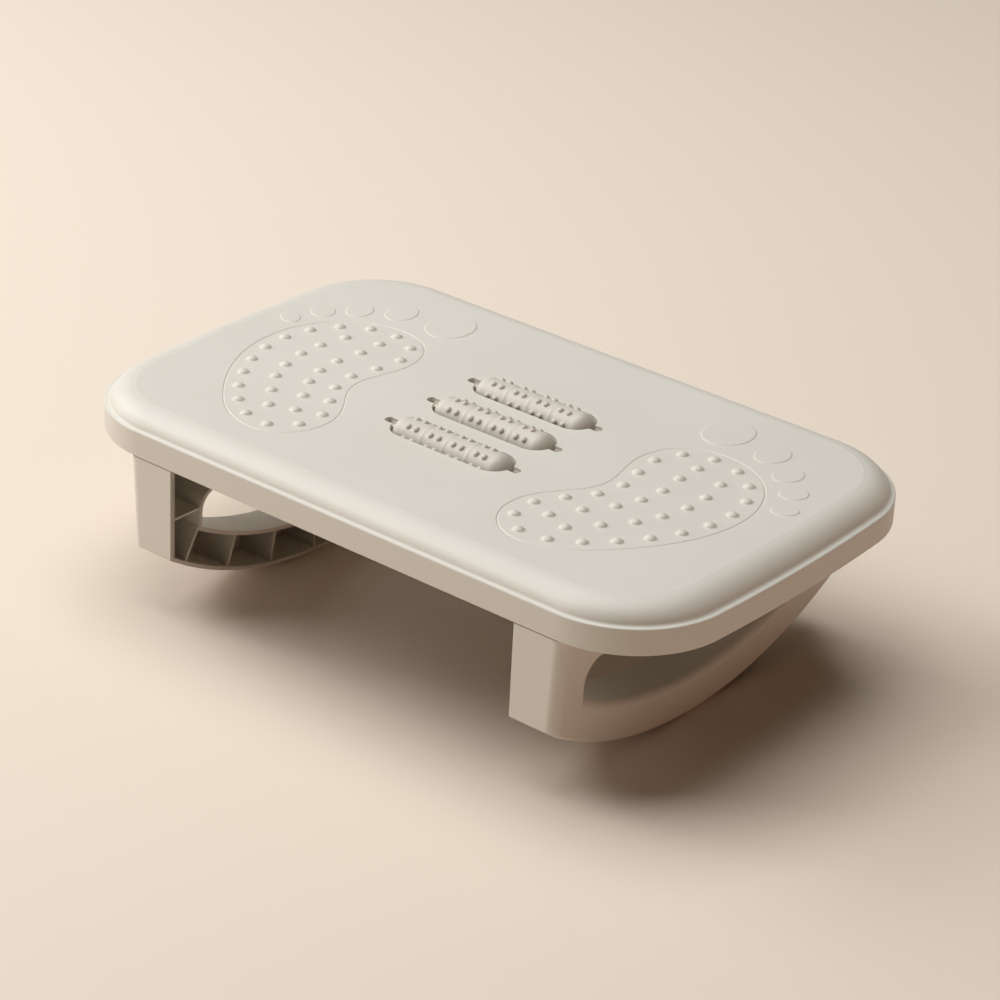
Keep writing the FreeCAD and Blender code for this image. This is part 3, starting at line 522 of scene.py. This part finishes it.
def toe_pad(toe, mirror):
    """Loops of one low oval toe pad, from its foot to the edge of its flat top."""
    share, length, width, turn = toe
    centre = share_point(share)
    swing = Matrix.Rotation(math.radians(turn), 2)
    loops = []
    for i in range(TOE_STEPS + 1):
        step = i / TOE_STEPS
        height = DECK_TOP + TOE_HEIGHT * (1 - math.cos(math.pi * step)) / 2
        inset = TOE_EDGE * step
        plan = []
        for x, y in circle((0, 0), 1, TOE_POINTS):
            offset = swing @ Vector((x * (length / 2 - inset), y * (width / 2 - inset)))
            plan.append((centre.x + offset.x, centre.y + offset.y))
        plan = mirrored_plan(plan) if mirror else plan
        loops.append([(x, y, height) for x, y in plan])
    return loops


def add_dome(shell, x, y):
    """A low round dome that grows out of the field with a soft foot."""
    ball = (DOME_RADIUS**2 + DOME_HEIGHT**2) / (2 * DOME_HEIGHT)
    centre = DECK_TOP + DOME_HEIGHT - ball
    reach = ball + DOME_FILLET
    rise = DECK_TOP + DOME_FILLET - centre
    foot = math.sqrt(reach**2 - rise**2)
    lean = math.atan2(foot, rise)
    rings = [(foot + DOME_LAP, DECK_TOP - FOOT_SINK)]
    for i in range(5):
        turn = lean * i / 4
        radius = foot - DOME_FILLET * math.sin(turn)
        rings.append((radius, DECK_TOP + DOME_FILLET * (1 - math.cos(turn))))
    for i in range(1, 6):
        turn = lean * (1 - i / 6)
        rings.append((ball * math.sin(turn), centre + ball * math.cos(turn)))
    loops = []
    for radius, height in rings:
        loops.append([(px, py, height) for px, py in circle((x, y), radius, DOME_POINTS)])
    ids = shell.chain(loops)
    shell.cap(ids[-1], (x, y, DECK_TOP + DOME_HEIGHT))


# Deck

def add_slot(shell, y):
    """The rounded mouth, walls and well of one roller slot. Gives the mouth's loop and the well's."""
    mouth = []
    for i in range(5):
        turn = QUARTER * i / 4
        grow = SLOT_EDGE * (1 - math.sin(turn))
        mouth.append(slot_outline(grow, y, DECK_TOP - SLOT_EDGE * (1 - math.cos(turn))))
    mouth.append(slot_outline(0, y, DECK_TOP - NOTCH_DEPTH))
    ids = shell.chain(mouth)
    top, low = DECK_TOP - NOTCH_DEPTH, DECK_TOP - WELL_DEPTH
    gap = DECK_TOP - AXLE_DROP - GROOVE_RADIUS
    plan = slot_outline(0, y, low, notch=False)
    start = []
    for px, py, pz in plan:
        open_end = abs(px) > SLOT_HALF_LENGTH - OPEN_BAND and abs(py - y) < GROOVE_RADIUS
        start.append((px, py, gap if open_end else top))
    shell.chain([start, plan])
    under = DECK_TOP - CREASE_STEP - DECK_WALL
    rings = [plan]
    for height in (low, under):
        rings.append(slot_outline(WELL_WALL, y, height, notch=False))
    wells = shell.chain(rings)
    for side in (-1, 1):
        add_saddle(shell, y, side)
    return ids[0], wells[-1]


def saddle_section():
    """The grooved block's section as (place across the axle, height), open at the throat above."""
    floor = DECK_TOP - NOTCH_DEPTH
    axis = DECK_TOP - AXLE_DROP
    corner = math.asin(THROAT_HALF / GROOVE_RADIUS)
    section = [(-NOTCH_HALF - SADDLE_LAP, floor), (-THROAT_HALF, floor)]
    for i in range(GROOVE_STEPS + 1):
        turn = -corner - (2 * math.pi - 2 * corner) * i / GROOVE_STEPS
        section.append((GROOVE_RADIUS * math.sin(turn), axis + GROOVE_RADIUS * math.cos(turn)))
    return section + [(THROAT_HALF, floor), (NOTCH_HALF + SADDLE_LAP, floor)]


def add_saddle(shell, y, side):
    """The grooved block at one end of a slot that carries the axle's end."""
    section = saddle_section()
    first, last = SLOT_HALF_LENGTH - SADDLE_LAP / 2, NOTCH_REACH
    strips = [[(x * side, y + across, height) for across, height in section] for x in (first, last)]
    if side > 0:
        strips.reverse()
    shell.chain(strips, closed=False)
    wall = shell.add([(last * side, y + across, height) for across, height in section[1:-1]])
    shell.faces.append(wall if side > 0 else wall[::-1])
    near, far = SLOT_HALF_LENGTH + WELL_WALL / 2, NOTCH_REACH + SADDLE_WALL
    low, high = DECK_TOP - SADDLE_DEPTH, DECK_TOP - DECK_WALL
    plan = [(near, -SADDLE_HALF), (far, -SADDLE_HALF), (far, SADDLE_HALF), (near, SADDLE_HALF)]
    loops = [[(px * side, y + py * side, height) for px, py in plan] for height in (low, high)]
    sides = shell.chain(loops, closed=False)
    shell.faces.append(sides[0][::-1])


def shell_middle(inset):
    """The height half way through the deck's wall at a distance inside its edge."""
    centre = DECK_TOP - CREASE_STEP - ROLL_RADIUS
    half = DECK_WALL / 2
    middle = ROLL_RADIUS - half
    ledge = DECK_TOP - RIM_DROP - half
    if inset >= CREASE_INSET:
        return centre + middle
    run = CREASE_INSET - inset
    if run >= middle:
        return ledge
    return max(ledge, centre + math.sqrt(middle**2 - run**2))


def outline_reach(at, inset, along_y):
    """How far the deck's outline lies from its axis, on a line across it at a given place."""
    at = abs(at)
    corner = CORNER_RADIUS - inset
    if along_y:
        if at <= CORNER_X:
            return HALF_WIDTH - inset
        return CORNER_Y + math.sqrt(max(corner**2 - (at - CORNER_X) ** 2, 0))
    if at <= (END_RADIUS - inset) * math.sin(CORNER_TURN):
        return math.sqrt((END_RADIUS - inset) ** 2 - at**2) - BACK_OFF
    return CORNER_X + math.sqrt(max(corner**2 - (at - CORNER_Y) ** 2, 0))


def add_fin(shell, at, along_y, tops):
    """A thin upright rib whose top edge follows some heights from place to place."""
    low = DECK_TOP - DECK_WALL - RIB_DEPTH
    sheets = []
    for side in (-1, 1):
        across = at + side * RIB_WALL / 2
        rows = []
        for heights in ([top for place, top in tops], [low] * len(tops)):
            row = []
            for (place, top), height in zip(tops, heights):
                row.append((across, place, height) if along_y else (place, across, height))
            rows.append(row)
        flip = (side > 0) == along_y
        sheets.append(shell.chain(rows[::-1] if flip else rows, closed=False))
    near, far = sheets
    lower = (near[-1], far[0]) if along_y else (near[0], far[-1])
    shell.bridge(lower[0], lower[1], closed=False)


def rib_tops(at, along_y):
    """Places along a rib and the heights of its top edge, from one rim to the other."""
    tops = [(outline_reach(at, inset, along_y), shell_middle(inset)) for inset in RIB_INSETS]
    return [(-place, top) for place, top in tops] + tops[::-1]


def add_ribs(shell):
    """The grid of ribs under the plate; the wells cut the middle ones."""
    well_x = SLOT_HALF_LENGTH + WELL_WALL
    well_y = SLOT_HALF_WIDTH + WELL_WALL
    for i in range(-4, 5):
        at = CROSS_RIB_PITCH * i
        tops = rib_tops(at, True)
        if abs(at) > well_x + RIB_WALL:
            add_fin(shell, at, True, tops)
            continue
        half = len(tops) // 2
        rest = tops[half][1]
        outer = ROLLER_PITCH + well_y - RIB_LAP
        between = ROLLER_PITCH - well_y + RIB_LAP
        inner = well_y - RIB_LAP
        add_fin(shell, at, True, tops[:half] + [(-outer, rest)])
        add_fin(shell, at, True, [(-between, rest), (-inner, rest)])
        add_fin(shell, at, True, [(inner, rest), (between, rest)])
        add_fin(shell, at, True, [(outer, rest)] + tops[half:])
    for i in range(-3, 3):
        at = LONG_RIB_PITCH * (i + 0.5)
        add_fin(shell, at, False, rib_tops(at, False))


def add_boss(shell, x, y):
    """A screw tower under the plate, open below for its screw."""
    top = DECK_TOP - DECK_WALL
    section = [(AXIS_GAP, SKIRT_BOTTOM + PILOT_DEPTH), (PILOT_RADIUS, SKIRT_BOTTOM + PILOT_DEPTH)]
    section += [(PILOT_RADIUS, SKIRT_BOTTOM), (BOSS_RADIUS - EDGE_ROUND, SKIRT_BOTTOM)]
    section += [(BOSS_RADIUS, SKIRT_BOTTOM + EDGE_ROUND), (BOSS_RADIUS, top)]
    loops = []
    for radius, height in section:
        loops.append([(px, py, height) for px, py in circle((x, y), radius, BOSS_POINTS)])
    shell.chain(loops)


def make_deck():
    """The deck's moulding: rim, field with slots and foot patterns, ribs and screw towers."""
    shell = Shell()
    section = rim_profile()
    rim = shell.chain([deck_outline(insets, height) for insets, height in section])
    mouths = []
    wells = []
    for y in (-ROLLER_PITCH, 0.0, ROLLER_PITCH):
        mouth, well = add_slot(shell, y)
        mouths.append(mouth)
        wells.append(well)
    edges = [rim[-1]] + mouths
    for mirror in (False, True):
        groove = shell.chain(sole_groove(mirror))
        edges += [groove[0], groove[-1]]
        for toe in TOES:
            pad = shell.chain(toe_pad(toe, mirror))
            edges.append(pad[0])
            shell.fill([pad[-1]])
    shell.fill(edges)
    shell.fill([rim[0]] + wells, up=False)
    for place in dome_places():
        for side in (-1, 1):
            add_dome(shell, place.x * side, place.y)
    add_ribs(shell)
    for side in (-1, 1):
        for reach in BOSS_REACHES:
            add_boss(shell, BOSS_X * side, reach)
    return shell.piece("deck_moulding")


# Rollers

def roller_profile():
    """Half section of a roller as (place along the axle, radius), from one end to the other."""
    half = SECTION_LENGTH * SECTION_COUNT / 2
    section = []
    start = math.acos(BORE_RADIUS / BARREL_RADIUS)
    for i in range(13):
        turn = start * (1 - i / 12)
        section.append((-half - CAP_LENGTH * math.sin(turn), BARREL_RADIUS * math.cos(turn)))
    for i in range(1, SECTION_COUNT):
        middle = SECTION_LENGTH * i - half
        for j in range(RING_POINTS):
            share = -1 + 2 * j / (RING_POINTS - 1)
            rise = RING_HEIGHT * (1 + math.cos(math.pi * share)) / 2
            section.append((middle + RING_HALF * share, BARREL_RADIUS + rise))
    mirrored = [(-x, radius) for x, radius in reversed(section)]
    return section + mirrored[(SECTION_COUNT - 1) * RING_POINTS:]


def add_knob(shell, x, turn):
    """A small round knob on the barrel, with a soft foot."""
    ball = (KNOB_RADIUS**2 + KNOB_HEIGHT**2) / (2 * KNOB_HEIGHT)
    centre = KNOB_HEIGHT - ball
    reach = ball + KNOB_FILLET
    foot = math.sqrt(reach**2 - (KNOB_FILLET - centre) ** 2)
    lean = math.atan2(foot, KNOB_FILLET - centre)
    rings = [(foot + KNOB_LAP, -FOOT_SINK)]
    for i in range(4):
        angle = lean * i / 3
        rings.append((foot - KNOB_FILLET * math.sin(angle), KNOB_FILLET * (1 - math.cos(angle))))
    for i in range(1, 6):
        angle = lean * (1 - i / 6)
        rings.append((ball * math.sin(angle), centre + ball * math.cos(angle)))
    loops = []
    for radius, height in rings:
        loop = []
        for across, along in circle((0, 0), radius, KNOB_POINTS):
            angle = turn - along / BARREL_RADIUS
            out = BARREL_RADIUS + height
            loop.append((x + across, out * math.cos(angle), out * math.sin(angle)))
        loops.append(loop)
    ids = shell.chain(loops)
    out = BARREL_RADIUS + KNOB_HEIGHT
    shell.cap(ids[-1], (x, out * math.cos(turn), out * math.sin(turn)))


def make_roller(name, phase):
    """One roller: a barrel with closed-in ends and bore, rows of knobs, turned to its phase."""
    shell = Shell()
    profile = roller_profile()
    section = [(profile[0][0] + CAP_LENGTH, BORE_RADIUS)] + profile
    section.append((profile[-1][0] - CAP_LENGTH, BORE_RADIUS))
    loops = []
    for x, radius in section:
        loops.append([(x, py, pz) for py, pz in circle((0, 0), radius, BARREL_STEPS)])
    shell.chain(loops)
    for row in range(KNOB_ROWS):
        turn = QUARTER + math.radians(phase) + 2 * math.pi * row / KNOB_ROWS
        for i in range(SECTION_COUNT):
            middle = SECTION_LENGTH * (i - (SECTION_COUNT - 1) / 2)
            for side in (-1, 1):
                add_knob(shell, middle + KNOB_GAP / 2 * side, turn)
    low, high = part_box(name)
    shift = Vector((0, (low.y + high.y) / 2 / MM, DECK_TOP - AXLE_DROP))
    shift.y = round(shift.y / ROLLER_PITCH) * ROLLER_PITCH
    for point in shell.points:
        point += shift
    return shell.piece(name + "_moulding")


# Looks

def new_material(name):
    """A node material, its nodes, its links and its shader."""
    material = bpy.data.materials.new(name)
    material.use_nodes = True
    tree = material.node_tree
    return material, tree.nodes, tree.links, tree.nodes["Principled BSDF"]


def add_noise(nodes, links, coords, scale):
    """A noise texture that is fixed to the object."""
    noise = nodes.new("ShaderNodeTexNoise")
    noise.inputs["Scale"].default_value = scale
    links.new(coords.outputs["Object"], noise.inputs["Vector"])
    return noise


def color_by(nodes, links, noise, shader, tones):
    """The shader's colour, from the first tone to the second as the noise rises."""
    ramp = nodes.new("ShaderNodeValToRGB")
    for element, tone in zip(ramp.color_ramp.elements, tones):
        element.color = (*tone, 1.0)
    links.new(noise.outputs["Fac"], ramp.inputs["Fac"])
    links.new(ramp.outputs["Color"], shader.inputs["Base Color"])
    return ramp


def roughness_by(nodes, links, noise, shader, low, high):
    """The shader's roughness, between two values as the noise rises."""
    gloss = nodes.new("ShaderNodeMapRange")
    gloss.inputs["To Min"].default_value = low
    gloss.inputs["To Max"].default_value = high
    links.new(noise.outputs["Fac"], gloss.inputs["Value"])
    links.new(gloss.outputs["Result"], shader.inputs["Roughness"])


def plastic_material(name, base, deep, roughness):
    """Moulded plastic: faint flow mottling, a fine spark-eroded grain and softened edges."""
    material, nodes, links, shader = new_material(name)
    coords = nodes.new("ShaderNodeTexCoord")
    mottle = add_noise(nodes, links, coords, 11.0)
    mottle.inputs["Detail"].default_value = 5.0
    mottle.inputs["Roughness"].default_value = 0.55
    ramp = color_by(nodes, links, mottle, shader, (deep, base))
    ramp.color_ramp.elements[0].position = 0.30
    ramp.color_ramp.elements[1].position = 0.72
    roughness_by(nodes, links, mottle, shader, roughness - 0.05, roughness + 0.05)
    grain = add_noise(nodes, links, coords, 1400.0)
    grain.inputs["Detail"].default_value = 2.0
    edge = nodes.new("ShaderNodeBevel")
    edge.samples = 4
    edge.inputs["Radius"].default_value = 0.0004
    bump = nodes.new("ShaderNodeBump")
    bump.inputs["Strength"].default_value = 0.5
    bump.inputs["Distance"].default_value = 0.00004
    links.new(grain.outputs["Fac"], bump.inputs["Height"])
    links.new(edge.outputs["Normal"], bump.inputs["Normal"])
    links.new(bump.outputs["Normal"], shader.inputs["Normal"])
    shader.inputs["IOR"].default_value = 1.48
    return material


def steel_material(name):
    """Zinc-plated steel with fine turning marks."""
    material, nodes, links, shader = new_material(name)
    coords = nodes.new("ShaderNodeTexCoord")
    marks = add_noise(nodes, links, coords, 900.0)
    color_by(nodes, links, marks, shader, STEEL_TONES)
    roughness_by(nodes, links, marks, shader, 0.28, 0.42)
    shader.inputs["Metallic"].default_value = 1.0
    return material


def paint(item, material):
    """One material all over a piece."""
    if item.material_slots:
        for place in item.material_slots:
            place.material = material
    else:
        item.data.materials.append(material)


# Stage

def make_camera():
    """The camera that took the photograph."""
    data = bpy.data.cameras.new("photo_camera")
    data.sensor_width = CAMERA_SENSOR
    data.lens = CAMERA_LENS
    data.clip_start = 0.05
    data.clip_end = 50.0
    camera = new_object("photo_camera", data)
    right = CAMERA_RIGHT.normalized()
    ahead = CAMERA_AHEAD.normalized()
    up = right.cross(ahead).normalized()
    right = ahead.cross(up).normalized()
    turn = Matrix((right, up, -ahead)).transposed()
    camera.matrix_world = Matrix.Translation(CAMERA_PLACE) @ turn.to_4x4()
    bpy.context.scene.camera = camera


def make_floor():
    """A wide plain floor under the soles."""
    mesh = bpy.data.meshes.new("floor")
    reach = FLOOR_REACH
    corners = [(-reach, -reach, 0), (reach, -reach, 0), (reach, reach, 0), (-reach, reach, 0)]
    mesh.from_pydata(corners, [], [(0, 1, 2, 3)])
    floor = new_object("floor", mesh)
    material, _, _, shader = new_material("floor_paint")
    shader.inputs["Base Color"].default_value = (*FLOOR_COLOR, 1.0)
    shader.inputs["Roughness"].default_value = 0.85
    mesh.materials.append(material)


def area_light(name, place, width, height, power, tint):
    """A soft rectangular light that faces the footrest."""
    data = bpy.data.lights.new(name, "AREA")
    data.shape = "RECTANGLE"
    data.size = width
    data.size_y = height
    data.energy = power
    data.color = tint
    lamp = new_object(name, data)
    lamp.location = place
    aim = Vector((0, 0, DECK_TOP * MM)) - Vector(place)
    lamp.rotation_mode = "QUATERNION"
    lamp.rotation_quaternion = aim.to_track_quat("-Z", "Y")


def make_surroundings():
    """A faint even light from all round, in front of a pale backdrop."""
    world = bpy.data.worlds.new("studio")
    world.use_nodes = True
    bpy.context.scene.world = world
    nodes, links = world.node_tree.nodes, world.node_tree.links
    faint = nodes["Background"]
    faint.inputs["Color"].default_value = (*FAINT_COLOR, 1.0)
    faint.inputs["Strength"].default_value = FAINT_STRENGTH
    backdrop = nodes.new("ShaderNodeBackground")
    backdrop.inputs["Color"].default_value = (*BACKDROP_COLOR, 1.0)
    rays = nodes.new("ShaderNodeLightPath")
    mix = nodes.new("ShaderNodeMixShader")
    links.new(rays.outputs["Is Camera Ray"], mix.inputs[0])
    links.new(faint.outputs["Background"], mix.inputs[1])
    links.new(backdrop.outputs["Background"], mix.inputs[2])
    links.new(mix.outputs["Shader"], nodes["World Output"].inputs["Surface"])


def make_light():
    """The soft lights round the footrest, and plain colours."""
    make_surroundings()
    for light in LIGHTS:
        area_light(*light)
    bpy.context.scene.view_settings.view_transform = "Standard"


deck_look = plastic_material("deck_plastic", *DECK_PLASTIC)
roller_look = plastic_material("roller_plastic", *ROLLER_PLASTIC)
axle_look = plastic_material("axle_plastic", *AXLE_PLASTIC)
steel_look = steel_material("zinc_steel")

deck = make_deck()
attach(deck, "base")
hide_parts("deck")
paint(deck, deck_look)
for roller_name, phase in zip(ROLLERS, ROLLER_PHASES):
    roller = make_roller(roller_name, phase)
    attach(roller, roller_name + "_body")
    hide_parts(roller_name)
    paint(roller, roller_look)
for node in ("left_leg", "right_leg"):
    paint(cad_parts[node], deck_look)
for node in ("front_axle", "middle_axle", "rear_axle"):
    paint(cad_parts[node], axle_look)
for node in ("left_leg_screws", "right_leg_screws"):
    paint(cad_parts[node], steel_look)

make_camera()
make_floor()
make_light()
